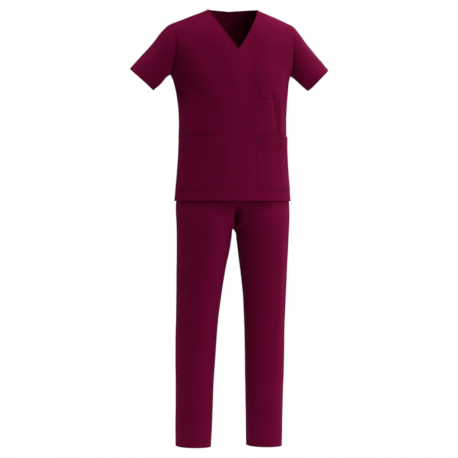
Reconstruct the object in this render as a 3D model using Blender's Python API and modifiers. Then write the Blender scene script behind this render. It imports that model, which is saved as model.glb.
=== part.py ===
"""Medical scrubs: a V-neck top and straight trousers, filled out as worn, with no wearer.

The front faces -Y, the wearer's left is +X, and up is +Z. The origin lies between the shoulders,
where the wearer carries the top. A drop is measured down from the high neck points, as a tailor
does, and a rise runs from 0 at the underarm to 1 on top of the shoulder.
"""

import math

import bmesh
import bpy
import numpy as np

# Driving dimensions, in metres.
NECK_POINT_HEIGHT = 0.025  # high neck points above the origin
WALL = 0.0012  # cloth of the garment
POCKET_WALL = 0.0010
BAND_WALL = 0.0026  # waistband: cloth folded round its elastic
SEAM_GAP = 0.0004  # between two pieces that are sewn together
ARMHOLE_GAP = 0.0009  # where the sleeve meets the body at an angle
LAID_GAP = 0.0003  # between a pocket and the panel beneath it

NECK_HALF_WIDTH = 0.0875
NECK_POINT_Y = -0.004
V_DEPTH = 0.136
BACK_NECK_Y = 0.055
SHOULDER_SEAM_RISE = 0.885  # the shoulder seam is set forward of the ridge

UNDERARM_DROP = 0.229
TOP_LENGTH = 0.670
CHEST_POCKET_TOP_RISE = 0.27
CHEST_POCKET_BOTTOM = 0.313
LOWER_POCKET_TOP = 0.446
LOWER_POCKET_BOTTOM = 0.632

WAISTBAND_TOP = 0.436
WAISTBAND_BOTTOM = 0.474
CROTCH_DROP = 0.758
TROUSER_LENGTH = 1.528

COLOURS = {"cloth": (0.105, 0.004, 0.026, 1.0), "band": (0.090, 0.004, 0.023, 1.0)}

# The body of the top below the underarm: half width, and the y of its front, side seam and back.
BODY_COLUMNS = ("drop", "half_width", "front", "side", "back")
BODY = (
    (0.229, 0.2145, -0.1020, 0.0370, 0.1070),
    (0.245, 0.2082, -0.1030, 0.0290, 0.1065),
    (0.261, 0.2045, -0.1036, 0.0215, 0.1055),
    (0.289, 0.1996, -0.1044, 0.0120, 0.1030),
    (0.345, 0.1936, -0.1050, 0.0040, 0.0975),
    (0.401, 0.1918, -0.1050, 0.0015, 0.0950),
    (0.457, 0.1922, -0.1060, 0.0010, 0.0975),
    (0.541, 0.1965, -0.1095, 0.0010, 0.1060),
    (0.597, 0.2002, -0.1130, 0.0015, 0.1115),
    (0.632, 0.2034, -0.1155, 0.0020, 0.1124),
    (0.670, 0.2068, -0.1180, 0.0030, 0.1142),
)

# The top above the underarm, by rise: the drop and y of the row's inner end on the centre line or
# the neck edge, the angle of its outer end round the armhole, and how far the row bulges.
YOKE_COLUMNS = ("rise", "drop", "y", "angle", "bulge")
FRONT_YOKE = (
    (0.00, 0.2290, -0.1020, 180.0, 1.00),
    (0.13, 0.2060, -0.1003, 154.0, 0.72),
    (0.27, 0.1800, -0.0968, 128.0, 0.45),
    (0.50, V_DEPTH, -0.0875, 96.0, 0.15),
    (0.70, 0.0790, -0.0665, 66.0, 0.00),
    (0.85, 0.0345, -0.0380, 36.0, 0.00),
    (1.00, 0.0000, NECK_POINT_Y, 0.0, 0.00),
)
BACK_YOKE = (
    (0.00, 0.2290, 0.1070, 180.0, 1.00),
    (0.13, 0.1930, 0.1078, 154.0, 0.72),
    (0.27, 0.1500, 0.1062, 128.0, 0.45),
    (0.50, 0.0760, 0.0920, 98.0, 0.15),
    (0.70, 0.0045, BACK_NECK_Y, 72.0, 0.00),
    (0.85, 0.0020, 0.0350, 44.0, 0.00),
    (1.00, 0.0000, NECK_POINT_Y, 0.0, 0.00),
)

# The sleeve's rings, each through a point on the shoulder line and one under the arm.
SLEEVE_COLUMNS = (
    *("at", "top_x", "top_y", "top_drop"),
    *("under_x", "under_y", "under_drop"),
    *("half_depth", "curve"),
)
SLEEVE = (
    (0.00, 0.2120, 0.022, 0.0495, 0.2145, 0.030, 0.2290, 0.0590, 0.000),
    (0.04, 0.2195, 0.024, 0.0531, 0.2170, 0.031, 0.2300, 0.0596, 0.000),
    (0.08, 0.2268, 0.026, 0.0578, 0.2200, 0.031, 0.2314, 0.0600, 0.000),
    (0.17, 0.2408, 0.028, 0.0718, 0.2277, 0.030, 0.2358, 0.0596, 0.000),
    (0.35, 0.2686, 0.032, 0.1068, 0.2405, 0.028, 0.2465, 0.0580, 0.001),
    (0.52, 0.2920, 0.036, 0.1348, 0.2528, 0.026, 0.2585, 0.0560, 0.002),
    (0.70, 0.3175, 0.040, 0.1628, 0.2640, 0.023, 0.2688, 0.0540, 0.002),
    (0.88, 0.3427, 0.042, 0.1908, 0.2723, 0.021, 0.2762, 0.0525, 0.003),
    (1.00, 0.3564, 0.041, 0.2065, 0.2775, 0.021, 0.2807, 0.0520, 0.004),
)

# Half of the trousers: the centre, half width, half depth and skew of the section at each drop, and
# its slope toward the front. Above the crotch it runs past the middle plane and is cut there.
LEG_COLUMNS = ("drop", "x", "y", "half_width", "half_depth", "skew", "slope")
LEG = (
    (0.436, 0.0000, 0.0000, 0.1775, 0.0900, 0.0000, 0.000),
    (0.474, 0.0000, -0.0005, 0.1800, 0.0925, 0.0000, 0.000),
    (0.541, 0.0000, -0.0010, 0.1880, 0.0990, 0.0000, 0.000),
    (0.597, 0.0000, 0.0005, 0.1942, 0.1070, 0.0000, 0.000),
    (0.640, 0.0060, 0.0007, 0.1925, 0.1105, 0.0005, 0.000),
    (0.680, 0.0300, -0.0025, 0.1722, 0.1095, 0.0018, 0.000),
    (0.710, 0.0600, -0.0060, 0.1422, 0.1065, 0.0035, 0.000),
    (0.735, 0.0830, -0.0088, 0.1178, 0.1030, 0.0045, 0.000),
    (0.750, 0.0940, -0.0100, 0.1060, 0.1005, 0.0050, 0.000),
    (0.758, 0.0990, -0.0100, 0.1004, 0.0997, 0.0052, 0.000),
    (0.768, 0.1030, -0.0097, 0.0960, 0.0990, 0.0054, 0.000),
    (0.800, 0.1055, -0.0075, 0.0925, 0.0975, 0.0055, 0.000),
    (0.877, 0.1108, 0.0000, 0.0860, 0.0940, 0.0055, 0.005),
    (1.017, 0.1192, 0.0160, 0.0750, 0.0845, 0.0050, 0.030),
    (1.157, 0.1234, 0.0350, 0.0698, 0.0780, 0.0030, 0.055),
    (1.297, 0.1252, 0.0460, 0.0664, 0.0730, 0.0010, 0.075),
    (1.437, 0.1266, 0.0540, 0.0637, 0.0700, 0.0000, 0.088),
    (1.528, 0.1276, 0.0585, 0.0619, 0.0685, 0.0000, 0.090),
)

BODY_ROUNDNESS = 2.25
SLEEVE_ROUNDNESS = 2.10
LEG_ROUNDNESS = 2.12

# Where the panels' columns cross a full row, as shares of the half width. The third line is the
# inner edge of the pockets.
COLUMN_SHARES = (0.0, 0.155, 0.310, 0.455, 0.585, 0.700, 0.805, 0.900, 0.965, 0.995, 1.0)
POCKET_COLUMN = 2
CHEST_POCKET_LAST_COLUMN = 6

BODY_ROWS = (
    TOP_LENGTH,
    LOWER_POCKET_BOTTOM,
    0.595,
    0.558,
    0.521,
    0.484,
    LOWER_POCKET_TOP,
    0.413,
    0.380,
    0.347,
    CHEST_POCKET_BOTTOM,
    0.285,
    0.257,
    UNDERARM_DROP,
)
BESIDE_SEAM_RISE = 0.018
FRONT_RISES = (
    *(0.135, CHEST_POCKET_TOP_RISE, 0.385, 0.50, 0.63, 0.76),
    *(SHOULDER_SEAM_RISE - BESIDE_SEAM_RISE, SHOULDER_SEAM_RISE),
)
BACK_RISES = (0.135, 0.27, 0.385, 0.50, 0.60, 0.70, 0.80, 0.90, 1.0)
OVER_SHOULDER_RISES = (0.95, SHOULDER_SEAM_RISE + BESIDE_SEAM_RISE, SHOULDER_SEAM_RISE)
LEG_ROWS = (
    WAISTBAND_BOTTOM + SEAM_GAP,
    0.535,
    0.595,
    0.645,
    0.680,
    0.708,
    0.728,
    0.745,
    CROTCH_DROP,
    0.770,
    0.800,
    0.850,
    0.915,
    0.990,
    1.080,
    1.180,
    1.290,
    1.410,
    TROUSER_LENGTH,
)
LEG_SPANS = 8
LEG_SAMPLES = 181  # points on a leg's half section before it is spread into spans
SEAM_STRIP = 0.004  # a narrow column beside a seam, so that the walls meet squarely there
SLEEVE_RINGS = (0.0, 0.04, 0.10, 0.20, 0.36, 0.56, 0.78, 1.0)
SLEEVE_SIDES = 22
BAND_SIDES = 36

# A point inside each form, from which its pieces face outward.
INSIDE_TOP = (0.0, 0.0, -0.20)
INSIDE_BELLY = (0.0, 0.1, -0.50)
INSIDE_CHEST = (0.0, 0.1, -0.20)
INSIDE_WAIST = (0.0, 0.0, -0.43)
INSIDE_LEG = (0.11, 0.02, -0.90)


def smooth_slopes(keys, values):
    """Slopes of a curve through the values that never swings past them."""
    steps = np.diff(keys)
    rates = np.diff(values) / steps
    slopes = np.empty(len(keys))
    slopes[0], slopes[-1] = rates[0], rates[-1]
    for i in range(1, len(keys) - 1):
        before, after = rates[i - 1], rates[i]
        if before * after <= 0:
            slopes[i] = 0.0
        else:
            first, second = 2 * steps[i] + steps[i - 1], steps[i] + 2 * steps[i - 1]
            slopes[i] = (first + second) / (first / before + second / after)
    return slopes


def read_table(table, columns, at):
    """The row of the table at this key, with each column read from a smooth curve."""
    data = np.array(table)
    keys = data[:, 0]
    at = min(max(at, keys[0]), keys[-1])
    i = min(int(np.searchsorted(keys, at, side="right")) - 1, len(keys) - 2)
    width = keys[i + 1] - keys[i]
    t = (at - keys[i]) / width
    found = {}
    for column, name in enumerate(columns):
        values = data[:, column]
        slopes = smooth_slopes(keys, values) * width
        found[name] = (
            values[i] * (1 + 2 * t) * (1 - t) ** 2
            + slopes[i] * t * (1 - t) ** 2
            + values[i + 1] * t * t * (3 - 2 * t)
            - slopes[i + 1] * t * t * (1 - t)
        )
    return found


def at_height(x, y, drop):
    return np.array((x, y, NECK_POINT_HEIGHT - drop))


def armhole_point(angle):
    """A point of the armhole: 0 degrees on the shoulder, 180 under the arm, positive forward."""
    return ring_point(read_table(SLEEVE, SLEEVE_COLUMNS, 0.0), math.radians(angle))


def rounded(angle, roundness):
    """Cosine and sine of the angle, on a rounded section: a circle where roundness is 2."""
    found = []
    for part in (math.cos(angle), math.sin(angle)):
        found.append(math.copysign(abs(part) ** (2 / roundness), part))
    return found


def ring_point(ring, angle):
    """A point of a sleeve's ring, by the angle from the shoulder line, positive forward."""
    top = at_height(ring["top_x"], ring["top_y"], ring["top_drop"])
    under = at_height(ring["under_x"], ring["under_y"], ring["under_drop"])
    up, forward = rounded(angle, SLEEVE_ROUNDNESS)
    point = (top + under) / 2 + (top - under) / 2 * up
    line = (top - under) / np.linalg.norm(top - under)
    inward = np.array((-line[2], 0.0, line[0])) * ring["curve"] * forward * forward
    return point + inward - np.array((0.0, ring["half_depth"] * forward, 0.0))


def row_between(inner, outer, bulge, share):
    """A point of a panel's row: a quarter round where bulge is 1, and a flat arch where it is 0."""
    quarter = (1 - share**BODY_ROUNDNESS) ** (1 / BODY_ROUNDNESS)
    arch = 1 - share * share
    along = bulge * quarter + (1 - bulge) * arch
    return np.array(
        (
            inner[0] + (outer[0] - inner[0]) * share,
            outer[1] + (inner[1] - outer[1]) * along,
            inner[2] + (outer[2] - inner[2]) * share,
        )
    )


def body_row(drop, front):
    """A level row of the top's front or back, from the centre line to the side seam."""
    size = read_table(BODY, BODY_COLUMNS, drop)
    inner = at_height(0.0, size["front"] if front else size["back"], drop)
    outer = at_height(size["half_width"], size["side"], drop)
    return [row_between(inner, outer, 1.0, share) for share in COLUMN_SHARES]


def yoke_row(rise, front):
    """A row above the underarm, from the centre line or the neck edge to the armhole."""
    size = read_table(FRONT_YOKE if front else BACK_YOKE, YOKE_COLUMNS, rise)
    if front:
        neck_x = NECK_HALF_WIDTH * max(0.0, 1 - size["drop"] / V_DEPTH)
    else:
        back = (size["y"] - NECK_POINT_Y) / (BACK_NECK_Y - NECK_POINT_Y)
        neck_x = NECK_HALF_WIDTH * math.sqrt(max(0.0, 1 - back * back))
    inner = at_height(neck_x, size["y"], size["drop"])
    outer = armhole_point(size["angle"] if front else -size["angle"])
    return [row_between(inner, outer, size["bulge"], share) for share in COLUMN_SHARES]


def leg_row(drop, front):
    """A level row of half the trousers, from the outer seam round to the inner or middle seam."""
    size = read_table(LEG, LEG_COLUMNS, drop)
    turn = -1 if front else 1
    points = []
    for angle in np.linspace(0, turn * math.pi, LEG_SAMPLES):
        side, depth = rounded(angle, LEG_ROUNDNESS)
        x = size["x"] + size["half_width"] * side + size["skew"] * depth
        backward = size["half_depth"] * depth
        points.append(at_height(x, size["y"] + backward, drop - size["slope"] * backward))
    kept = [point for point in points if point[0] > SEAM_GAP / 2]
    if len(kept) < len(points):
        last, past = kept[-1], points[len(kept)]
        share = (last[0] - SEAM_GAP / 2) / (last[0] - past[0])
        kept.append(last + (past - last) * share)
    return spread_evenly(kept, LEG_SPANS)


def spread_evenly(points, spans):
    """The points' line, resampled at even distances between a narrow strip at each end."""
    line = np.array(points)
    lengths = np.concatenate([[0], np.cumsum(np.linalg.norm(np.diff(line, axis=0), axis=1))])
    between = np.linspace(SEAM_STRIP, lengths[-1] - SEAM_STRIP, spans + 1)
    wanted = np.concatenate([[0], between, [lengths[-1]]])
    return [np.array([np.interp(at, lengths, line[:, axis]) for axis in range(3)]) for at in wanted]


def pull_in(grid, side, distance):
    """Moves one border of a grid of points back along the grid, to leave a seam's gap."""
    grid = np.array(grid)
    border, beside = {
        "first_row": (grid[0], grid[1]),
        "last_row": (grid[-1], grid[-2]),
        "first_column": (grid[:, 0], grid[:, 1]),
        "last_column": (grid[:, -1], grid[:, -2]),
    }[side]
    inward = beside - border
    inward /= np.linalg.norm(inward, axis=1, keepdims=True)
    border += inward * distance
    return grid


def new_material(name, colour):
    material = bpy.data.materials.new(name)
    material.use_nodes = True
    shader = material.node_tree.nodes["Principled BSDF"]
    shader.inputs["Base Color"].default_value = colour
    shader.inputs["Roughness"].default_value = 0.75
    shader.inputs["Metallic"].default_value = 0.0
    return material


def grid_mesh(name, grid, outward, closed=False):
    """A surface over a grid of points, wound so that its normals agree with `outward`."""
    shell = bmesh.new()
    rows = [[shell.verts.new(point) for point in row] for row in grid]
    spans = len(rows[0]) if closed else len(rows[0]) - 1
    for i in range(len(rows) - 1):
        for j in range(spans):
            k = (j + 1) % len(rows[0])
            shell.faces.new((rows[i][j], rows[i][k], rows[i + 1][k], rows[i + 1][j]))
    shell.normal_update()
    facing = sum(face.normal.dot(outward(face.calc_center_median())) for face in shell.faces)
    if facing < 0:
        bmesh.ops.reverse_faces(shell, faces=shell.faces)
    mesh = bpy.data.meshes.new(name)
    shell.to_mesh(mesh)
    shell.free()
    return mesh


def add_cloth(name, mesh, colour, collection, wall=WALL, mirrored=False):
    """An object whose wall grows inward from the mesh's surface."""
    mesh.materials.append(new_material(name, colour))
    mesh.shade_smooth()
    cloth = bpy.data.objects.new(name, mesh)
    collection.objects.link(cloth)
    if mirrored:
        mirror = cloth.modifiers.new("Other half", "MIRROR")
        mirror.use_mirror_merge = True
        mirror.merge_threshold = 0.0001
    solidify = cloth.modifiers.new("Cloth", "SOLIDIFY")
    solidify.thickness = wall
    solidify.offset = -1
    solidify.use_even_offset = True
    return cloth


def away_from(centre):
    """Outward from a point, for a piece that is wrapped round it."""
    return lambda point: point - type(point)(centre)


def mirror_grid(grid, side):
    """A point or a grid of them, on the wearer's left (side 1) or right (side -1)."""
    return np.array(grid) * np.array((side, 1, 1))


def top_grid(front):
    """Half of the top's front or back, from the hem up to the shoulder seam."""
    grid = [body_row(drop, front) for drop in BODY_ROWS]
    rises = FRONT_RISES if front else BACK_RISES
    grid += [yoke_row(rise, front) for rise in rises]
    if not front:
        grid += [yoke_row(rise, True) for rise in OVER_SHOULDER_RISES]
    grid = pull_in(grid, "last_row", SEAM_GAP / 2)
    level = len(BODY_ROWS)
    grid[:level] = pull_in(grid[:level], "last_column", SEAM_GAP / 2)
    grid[level:] = pull_in(grid[level:], "last_column", ARMHOLE_GAP / 2)
    return grid


def build_top(collection):
    """The front with its V, and the back, which reaches over the shoulders."""
    for name, front in (("top_front", True), ("top_back", False)):
        mesh = grid_mesh(name, top_grid(front), away_from(INSIDE_TOP))
        add_cloth(name, mesh, COLOURS["cloth"], collection, mirrored=True)


def sleeve_grid():
    grid = []
    for at in SLEEVE_RINGS:
        ring = read_table(SLEEVE, SLEEVE_COLUMNS, at)
        turns = [2 * math.pi * i / SLEEVE_SIDES for i in range(SLEEVE_SIDES)]
        grid.append([ring_point(ring, turn) for turn in turns])
    return pull_in(grid, "first_row", ARMHOLE_GAP / 2)


def build_sleeves(collection):
    grid = sleeve_grid()
    middle = grid.mean(axis=(0, 1))
    for name, side in (("sleeve_left", 1), ("sleeve_right", -1)):
        centre = mirror_grid(middle, side)
        mesh = grid_mesh(name, mirror_grid(grid, side), away_from(centre), closed=True)
        add_cloth(name, mesh, COLOURS["cloth"], collection)


def laid_on(grid, distance):
    """A grid of points moved out along the surface's normals."""
    along = np.gradient(grid, axis=0)
    across = np.gradient(grid, axis=1)
    normals = np.cross(along, across)
    normals /= np.linalg.norm(normals, axis=2, keepdims=True)
    if normals[..., 1].sum() > 0:
        normals = -normals
    return grid + normals * distance


def pocket_grid(first_row, last_row, first_column, last_column):
    """The stretch of the front panel that a pocket covers, moved out to lie on it."""
    moved = laid_on(top_grid(True), LAID_GAP + POCKET_WALL)
    return moved[first_row : last_row + 1, first_column : last_column + 1]


def cut_corner(grid, row, column):
    """Slants a pocket's bottom corner: its point moves to the middle of the corner's cell."""
    inner_row = row + 1
    inner_column = column + 1 if column == 0 else column - 1
    grid[row, column] = (grid[inner_row, column] + grid[row, inner_column]) / 2
    return grid


def build_pockets(collection):
    """A pocket low on each side, from the side seam inward, and one on the wearer's left chest."""
    low = BODY_ROWS.index(LOWER_POCKET_BOTTOM)
    high = BODY_ROWS.index(LOWER_POCKET_TOP)
    low_pocket = pocket_grid(low, high, POCKET_COLUMN, len(COLUMN_SHARES) - 1)
    low_pocket = cut_corner(low_pocket, 0, 0)
    for name, side in (("pocket_left", 1), ("pocket_right", -1)):
        mesh = grid_mesh(name, mirror_grid(low_pocket, side), away_from(INSIDE_BELLY))
        add_cloth(name, mesh, COLOURS["cloth"], collection, wall=POCKET_WALL)
    low = BODY_ROWS.index(CHEST_POCKET_BOTTOM)
    high = len(BODY_ROWS) + FRONT_RISES.index(CHEST_POCKET_TOP_RISE)
    chest = pocket_grid(low, high, POCKET_COLUMN, CHEST_POCKET_LAST_COLUMN)
    chest = cut_corner(chest, 0, 0)
    chest = cut_corner(chest, 0, chest.shape[1] - 1)
    mesh = grid_mesh("chest_pocket", chest, away_from(INSIDE_CHEST))
    add_cloth("chest_pocket", mesh, COLOURS["cloth"], collection, wall=POCKET_WALL)


def build_trousers(collection):
    """Two fronts and two backs, which meet at the outer, inner and middle seams."""
    for half, front in (("front", True), ("back", False)):
        grid = np.array([leg_row(drop, front) for drop in LEG_ROWS])
        grid = pull_in(grid, "first_column", SEAM_GAP / 2)
        below = LEG_ROWS.index(CROTCH_DROP)
        grid[below:] = pull_in(grid[below:], "last_column", SEAM_GAP / 2)
        for name, side in (("left", 1), ("right", -1)):
            piece = f"trouser_{half}_{name}"
            outward = away_from(mirror_grid(INSIDE_LEG, side))
            mesh = grid_mesh(piece, mirror_grid(grid, side), outward)
            add_cloth(piece, mesh, COLOURS["cloth"], collection)


def build_waistband(collection):
    """A flat band round the waist, which carries the trousers."""
    grid = []
    for drop in (WAISTBAND_BOTTOM, WAISTBAND_TOP):
        size = read_table(LEG, LEG_COLUMNS, drop)
        ring = []
        for i in range(BAND_SIDES):
            side, depth = rounded(2 * math.pi * i / BAND_SIDES, LEG_ROUNDNESS)
            x, y = size["half_width"] * side, size["y"] + size["half_depth"] * depth
            ring.append(at_height(x, y, drop))
        grid.append(ring)
    mesh = grid_mesh("waistband", grid, away_from(INSIDE_WAIST), closed=True)
    add_cloth("waistband", mesh, COLOURS["band"], collection, wall=BAND_WALL)


def main():
    for leftover in list(bpy.data.objects):
        bpy.data.objects.remove(leftover, do_unlink=True)
    garment = bpy.data.collections.new("Medical scrubs")
    bpy.context.scene.collection.children.link(garment)
    build_top(garment)
    build_sleeves(garment)
    build_pockets(garment)
    build_trousers(garment)
    build_waistband(garment)


main()
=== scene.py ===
import math

import bmesh
import bpy
import numpy as np
from mathutils import Matrix, Vector


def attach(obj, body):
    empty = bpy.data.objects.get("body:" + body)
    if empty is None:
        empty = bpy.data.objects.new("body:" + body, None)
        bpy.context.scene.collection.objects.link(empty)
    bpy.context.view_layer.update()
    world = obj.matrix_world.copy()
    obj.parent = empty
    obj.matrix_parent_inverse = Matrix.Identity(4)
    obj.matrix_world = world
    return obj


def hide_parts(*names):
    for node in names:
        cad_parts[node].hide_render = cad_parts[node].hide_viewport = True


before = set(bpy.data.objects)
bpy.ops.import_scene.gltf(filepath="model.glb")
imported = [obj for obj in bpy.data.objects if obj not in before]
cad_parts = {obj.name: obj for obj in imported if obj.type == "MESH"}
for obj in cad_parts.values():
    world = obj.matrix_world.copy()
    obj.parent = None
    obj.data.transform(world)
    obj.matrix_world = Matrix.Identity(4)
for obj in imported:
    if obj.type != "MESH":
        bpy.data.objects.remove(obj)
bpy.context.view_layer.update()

print("frame loaded:", len(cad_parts), "panels")

# Front is -Y, the wearer's left is +X. A drop is measured down from the high neck points, and a rise
# runs from 0 at the underarm to 1 on top of the shoulder. Everything is in metres.
garment = {
    "neckPointHeight": 0.025,
    "wall": 0.0009,
    "hemWall": 0.0021,
    "seamGap": 0.0001,
    "meshStep": 0.0042,
    "pocketStep": 0.0035,
    "closestLines": 0.0004,
    "weld": 0.00004,
    # extra lines beside an edge, and about a stitched line
    "edgeLines": (0.0006, 0.0013, 0.0022),
    "stitchLines": (-0.0022, -0.0011, 0, 0.0011, 0.0022),
    "edgeStitch": 0.0018,
    "creaseFade": 0.012,
    "hemBlend": 0.001,
}

topCut = {
    "neckHalfWidth": 0.0875,
    "neckPointY": -0.004,
    "vDepth": 0.138,
    "vBow": 0.0062,
    "backNeckY": 0.055,
    "underarmDrop": 0.229,
    "length": 0.670,
    "shoulderSeamRise": 0.885,
    "hem": 0.031,
    "bodyRoundness": 2.25,
    "halfArc": 0.27,
    "armholeHeight": 0.232,
    "levelStart": 0.16,
    "cornerFade": 0.017,
    "neckBead": 0.0016,
    "beadWidth": 0.0024,
    "armholeTuck": 0.0062,
    "tuckWidth": 0.0065,
    "tuckDrops": (0.155, 0.222),
    "neckStitch": 0.017,
    "neckLine": 0.0045,
    "cornerSpan": 0.055,
    "cornerDepth": 0.040,
    "flatRises": (0.72, 0.95),
    # drop, half width, then the y of front, side seam and back
    "body": (
        (0.229, 0.2145, -0.1020, 0.0340, 0.1070),
        (0.245, 0.2082, -0.1030, 0.0285, 0.1065),
        (0.261, 0.2045, -0.1036, 0.0215, 0.1055),
        (0.289, 0.1996, -0.1044, 0.0120, 0.1030),
        (0.345, 0.1936, -0.1050, 0.0040, 0.0975),
        (0.401, 0.1918, -0.1050, 0.0015, 0.0950),
        (0.457, 0.1922, -0.1060, 0.0010, 0.0975),
        (0.541, 0.1965, -0.1095, 0.0010, 0.1060),
        (0.597, 0.2002, -0.1130, 0.0015, 0.1115),
        (0.632, 0.2034, -0.1155, 0.0020, 0.1130),
        (0.670, 0.2068, -0.1180, 0.0030, 0.1152),
    ),
    # rise, then the drop and y of the row's inner end, its angle round the armhole, and its bulge
    "frontYoke": (
        (0.00, 0.2290, -0.1020, 180.0, 1.000),
        (0.04, 0.2222, -0.1017, 172.5, 0.955),
        (0.13, 0.2060, -0.1003, 154.0, 0.740),
        (0.27, 0.1800, -0.0968, 128.0, 0.450),
        (0.50, 0.1360, -0.0875, 96.0, 0.150),
        (0.70, 0.0790, -0.0665, 66.0, 0.000),
        (0.85, 0.0345, -0.0380, 36.0, 0.000),
        (1.00, 0.0000, -0.0040, 0.0, 0.000),
    ),
    "backYoke": (
        (0.00, 0.2290, 0.1070, 180.0, 1.000),
        (0.04, 0.2185, 0.1073, 172.5, 0.955),
        (0.13, 0.1930, 0.1078, 154.0, 0.740),
        (0.27, 0.1500, 0.1062, 128.0, 0.450),
        (0.50, 0.0760, 0.0920, 98.0, 0.150),
        (0.70, 0.0045, 0.0550, 72.0, 0.000),
        (0.85, 0.0020, 0.0350, 44.0, 0.000),
        (1.00, 0.0000, -0.0040, 0.0, 0.000),
    ),
}

sleeveCut = {
    "hem": 0.024,
    "length": 0.195,
    "girth": 0.40,
    "roundness": 2.10,
    "cuffLean": {1: 0.0, -1: 0.0125},
    "cuffReach": {1: 0.0, -1: 0.0045},
    "cuffStart": 0.25,
    "creaseShare": {1: 1.0, -1: 0.85},
    "tuckWidth": {1: 0.0100, -1: 0.0200},
    # at, the x, y and drop of the point on the shoulder line, the same under the arm, depth, curve
    "rings": (
        (0.00, 0.2120, 0.022, 0.0495, 0.2145, 0.034, 0.2290, 0.0590, 0.000),
        (0.04, 0.2195, 0.024, 0.0531, 0.2170, 0.033, 0.2300, 0.0596, 0.000),
        (0.08, 0.2268, 0.026, 0.0578, 0.2200, 0.032, 0.2314, 0.0600, 0.000),
        (0.17, 0.2408, 0.028, 0.0718, 0.2277, 0.030, 0.2358, 0.0596, 0.000),
        (0.35, 0.2686, 0.032, 0.1068, 0.2405, 0.028, 0.2465, 0.0580, 0.001),
        (0.52, 0.2920, 0.036, 0.1348, 0.2528, 0.026, 0.2585, 0.0560, 0.002),
        (0.70, 0.3175, 0.040, 0.1628, 0.2640, 0.023, 0.2688, 0.0540, 0.002),
        (0.88, 0.3427, 0.042, 0.1908, 0.2723, 0.021, 0.2762, 0.0525, 0.003),
        (1.00, 0.3564, 0.041, 0.2065, 0.2775, 0.021, 0.2807, 0.0520, 0.004),
    ),
}

trouserCut = {
    "waistTop": 0.436,
    "waistBottom": 0.474,
    "crotchDrop": 0.758,
    "length": 1.528,
    "hem": 0.022,
    # the front's hollow under the hem, and its half width; drops where it starts and ends
    "frontSink": (0.024, 0.090),
    "sinkDrops": (0.56, 0.66),
    "sinkEnds": (0.69, 0.80),
    "creaseDrops": (0.56, 0.70),
    # each fold along the middle: its depth and half width
    "crotchSink": {1: (0.009, 0.028), -1: (0.005, 0.020)},
    "crotchFold": (0.050, 0.0088),
    # how far the seam under the crotch lies back, and how wide that bend is
    "crotchBend": (0.038, 0.020),
    "foldDrops": (0.668, 0.735),
    "foldEnds": (0.762, 0.785),
    "roundness": 2.12,
    "halfGirth": 0.24,
    # drop, centre x and y, half width, half depth, skew, slope toward the front
    "leg": (
        (0.436, 0.0000, 0.0000, 0.1775, 0.0900, 0.0000, 0.000),
        (0.474, 0.0000, -0.0005, 0.1800, 0.0925, 0.0000, 0.000),
        (0.541, 0.0000, -0.0010, 0.1880, 0.0990, 0.0000, 0.000),
        (0.597, 0.0000, 0.0005, 0.1942, 0.1070, 0.0000, 0.000),
        (0.640, 0.0060, 0.0007, 0.1925, 0.1105, 0.0005, 0.000),
        (0.680, 0.0300, -0.0025, 0.1722, 0.1095, 0.0018, 0.000),
        (0.710, 0.0600, -0.0060, 0.1422, 0.1065, 0.0035, 0.000),
        (0.735, 0.0830, -0.0088, 0.1178, 0.1030, 0.0045, 0.000),
        (0.750, 0.0940, -0.0100, 0.1060, 0.1005, 0.0050, 0.000),
        (0.758, 0.0990, -0.0100, 0.1004, 0.0997, 0.0052, 0.000),
        (0.768, 0.1030, -0.0097, 0.0960, 0.0990, 0.0054, 0.000),
        (0.800, 0.1055, -0.0075, 0.0925, 0.0975, 0.0055, 0.000),
        (0.877, 0.1108, 0.0000, 0.0860, 0.0940, 0.0055, 0.005),
        (1.017, 0.1192, 0.0160, 0.0750, 0.0845, 0.0050, 0.030),
        (1.157, 0.1234, 0.0350, 0.0698, 0.0780, 0.0030, 0.055),
        (1.297, 0.1252, 0.0460, 0.0664, 0.0730, 0.0010, 0.075),
        (1.437, 0.1266, 0.0540, 0.0637, 0.0700, 0.0000, 0.082),
        (1.528, 0.1276, 0.0585, 0.0619, 0.0685, 0.0000, 0.080),
    ),
}


# A table's keys, values and slopes, for curves that never swing past its rows.
def smoothTable(rows):
    data = np.array(rows, float)
    keys, values = data[:, 0], data[:, 1:]
    steps = np.diff(keys)[:, None]
    rates = np.diff(values, axis=0) / steps
    slopes = np.zeros_like(values)
    slopes[0], slopes[-1] = rates[0], rates[-1]
    before, after = rates[:-1], rates[1:]
    first, second = 2 * steps[1:] + steps[:-1], steps[1:] + 2 * steps[:-1]
    with np.errstate(divide="ignore", invalid="ignore"):
        mean = (first + second) / (first / before + second / after)
    slopes[1:-1] = np.where(before * after > 0, mean, 0.0)
    return keys, values, slopes


def readTable(table, at):
    keys, values, slopes = table
    at = np.clip(at, keys[0], keys[-1])
    i = np.clip(np.searchsorted(keys, at, side="right") - 1, 0, len(keys) - 2)
    width = (keys[i + 1] - keys[i])[..., None]
    t = (at - keys[i])[..., None] / width
    return (
        values[i] * (1 + 2 * t) * (1 - t) ** 2
        + slopes[i] * width * t * (1 - t) ** 2
        + values[i + 1] * t * t * (3 - 2 * t)
        - slopes[i + 1] * width * t * t * (1 - t)
    )


bodyTable = smoothTable(topCut["body"])
frontYokeTable = smoothTable(topCut["frontYoke"])
backYokeTable = smoothTable(topCut["backYoke"])
sleeveTable = smoothTable(sleeveCut["rings"])
legTable = smoothTable(trouserCut["leg"])


def smoothStep(value, low, high):
    t = np.clip((value - low) / (high - low), 0, 1)
    return t * t * (3 - 2 * t)


# Two values as arrays of one shape.
def spread(first, second):
    return np.broadcast_arrays(np.asarray(first, float), np.asarray(second, float))


# The share of a hem's second layer: 1 from its start on.
def hemShare(place, start):
    return smoothStep(place, start - garment["hemBlend"], start)


def bell(distance, width):
    return np.exp(-((distance / width) ** 2))


def heightOf(drop):
    return garment["neckPointHeight"] - drop


def dropOf(z):
    return garment["neckPointHeight"] - z


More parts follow.
